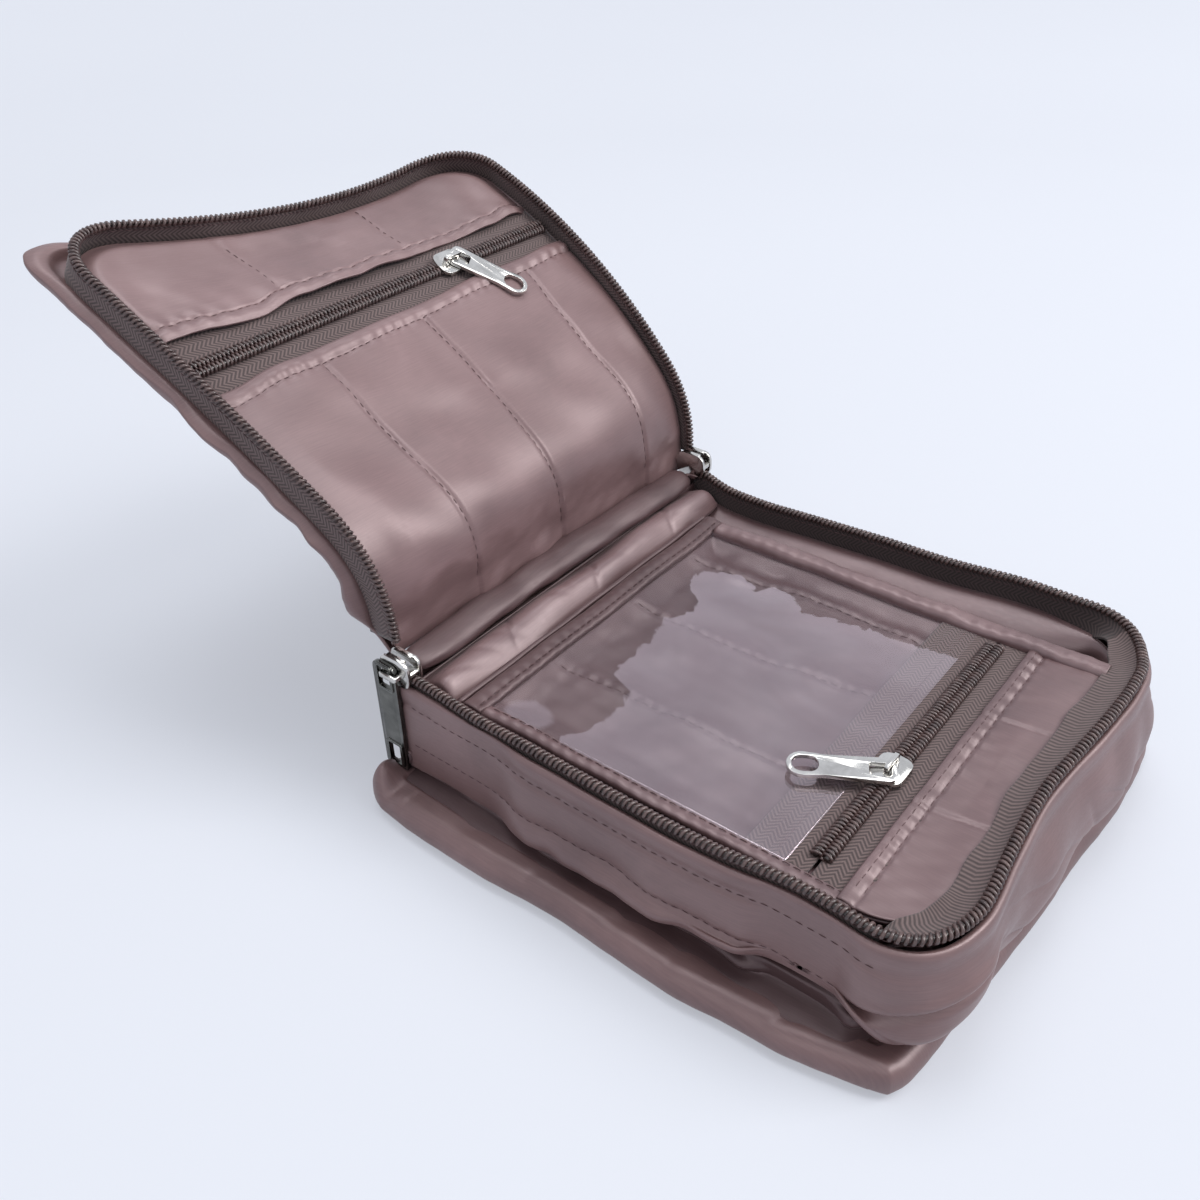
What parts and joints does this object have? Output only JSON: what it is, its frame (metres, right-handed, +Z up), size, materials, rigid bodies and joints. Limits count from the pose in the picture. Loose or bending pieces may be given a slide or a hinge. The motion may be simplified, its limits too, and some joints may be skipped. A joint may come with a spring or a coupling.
{
  "type": "jewelry organizer",
  "caption": "Zip-round fabric jewelry case, open: padded base box, curved padded lid with a zipped pocket on a soft hinge, and a turning clear zipped page, with zip sliders and pulls.",
  "frame": {"origin": "centre of the base box's zip outline, on the flat underside of the bottom cover", "axes": "+X from the hinge to the free end, +Y from the front wall in the picture to the back wall, +Z up"},
  "size_m": [0.2892, 0.156, 0.143],
  "materials": {
    "satin_outer": "padded mauve-grey satin, soft sheen",
    "satin_inner": "mauve-grey satin lining, soft sheen",
    "satin_dark": "folded mauve-grey satin, in shade",
    "zip_tape": "matt brown woven zip tape",
    "coil": "dark brown nylon coil",
    "nickel": "bright nickel plate",
    "dark_nickel": "polished dark nickel plate",
    "clear_vinyl": "clear flexible vinyl, slightly creased",
    "foam": "soft polyurethane foam padding",
    "board": "thin stiffening board"
  },
  "bodies": {
    "base": {"bottom_cover": "satin_outer", "bottom_board": "board", "bottom_foam": "foam", "floor_lining": "satin_inner", "gusset_fold": "satin_dark", "wall_band": "satin_outer", "base_zip_tape": "zip_tape", "base_zip_coil": "coil", "wall_lining": "satin_inner", "spine_panel": "satin_outer", "spine_lining": "satin_inner", "hinge_roll": "satin_inner", "inner_fold": "satin_inner", "page_seam_cord": "satin_dark"},
    "lid_root": {"lid_root_cover": "satin_outer", "lid_root_foam": "foam", "lid_root_lining": "satin_inner", "lid_root_tape_front": "zip_tape", "lid_root_tape_back": "zip_tape", "lid_root_coil_front": "coil", "lid_root_coil_back": "coil"},
    "lid": {"lid_cover": "satin_outer", "lid_board": "board", "lid_foam": "foam", "lid_pocket_back": "satin_inner", "lid_panel_upper": "satin_inner", "lid_panel_lower": "satin_inner", "lid_zip_tape": "zip_tape", "lid_zip_coil": "coil", "lid_pocket_tape_lower": "zip_tape", "lid_pocket_tape_upper": "zip_tape", "lid_pocket_coil_lower": "coil", "lid_pocket_coil_upper": "coil"},
    "pocket_slider_body": {"lid_pocket_slider": "nickel"},
    "pocket_pull_body": {"lid_pocket_pull": "nickel"},
    "page": {"page_spine_binding": "satin_dark", "page_rear_binding": "satin_inner", "page_front_binding": "satin_inner", "page_back": "satin_inner", "page_window": "clear_vinyl", "page_end_strip": "satin_inner", "page_tape_left": "zip_tape", "page_tape_right": "zip_tape", "page_coil_left": "coil", "page_coil_right": "coil"},
    "page_slider_body": {"page_slider": "nickel"},
    "page_pull_body": {"page_pull": "nickel"},
    "front_slider_body": {"front_slider": "dark_nickel"},
    "front_pull_body": {"front_pull": "dark_nickel"},
    "back_slider_body": {"back_slider": "dark_nickel"},
    "back_pull_body": {"back_pull": "dark_nickel"}
  },
  "joints": [
    {"name": "lid_root_turn", "type": "hinge", "parent": "base", "child": "lid_root", "pos_m": [-0.08, 0, 0.0444], "axis": [0, -1, 0], "range_deg": [-97, 30]},
    {"name": "lid_turn", "type": "hinge", "parent": "lid_root", "child": "lid", "pos_m": [-0.08414, 0, 0.07815], "axis": [0, -1, 0], "range_deg": [-52, 16.08]},
    {"name": "page_turn", "type": "hinge", "parent": "base", "child": "page", "pos_m": [-0.0628, 0, 0.0375], "axis": [0, -1, 0], "range_deg": [0, 115]},
    {"name": "page_slider_slide", "type": "slide", "parent": "page", "child": "page_slider_body", "axis": [0, 1, 0], "range_m": [-0.025, 0.054]},
    {"name": "page_pull_turn", "type": "hinge", "parent": "page_slider_body", "child": "page_pull_body", "pos_m": [0.042, -0.0246, 0.0404], "axis": [0, 0, 1], "range_deg": [-40, 150]},
    {"name": "pocket_slider_slide", "type": "slide", "parent": "lid", "child": "pocket_slider_body", "axis": [0, -1, 0], "range_m": [-0.019, 0.091]},
    {"name": "pocket_pull_turn", "type": "hinge", "parent": "pocket_slider_body", "child": "pocket_pull_body", "pos_m": [-0.15065, 0.0336, 0.11017], "axis": [0.515, 0, 0.8572], "range_deg": [-40, 150]},
    {"name": "front_slider_slide", "type": "slide", "parent": "base", "child": "front_slider_body", "axis": [1, 0, 0], "range_m": [0, 0.13]},
    {"name": "front_pull_turn", "type": "hinge", "parent": "front_slider_body", "child": "front_pull_body", "pos_m": [-0.0821, -0.0729, 0.0444], "axis": [0, -1, 0], "range_deg": [-50, 15]},
    {"name": "back_slider_slide", "type": "slide", "parent": "base", "child": "back_slider_body", "axis": [1, 0, 0], "range_m": [0, 0.13]},
    {"name": "back_pull_turn", "type": "hinge", "parent": "back_slider_body", "child": "back_pull_body", "pos_m": [-0.0821, 0.0729, 0.0444], "axis": [0, -1, 0], "range_deg": [-50, 15]}
  ],
  "couplings": [
    {"joint": "lid_turn", "follows": "lid_root_turn", "ratio": 0.5361}
  ]
}
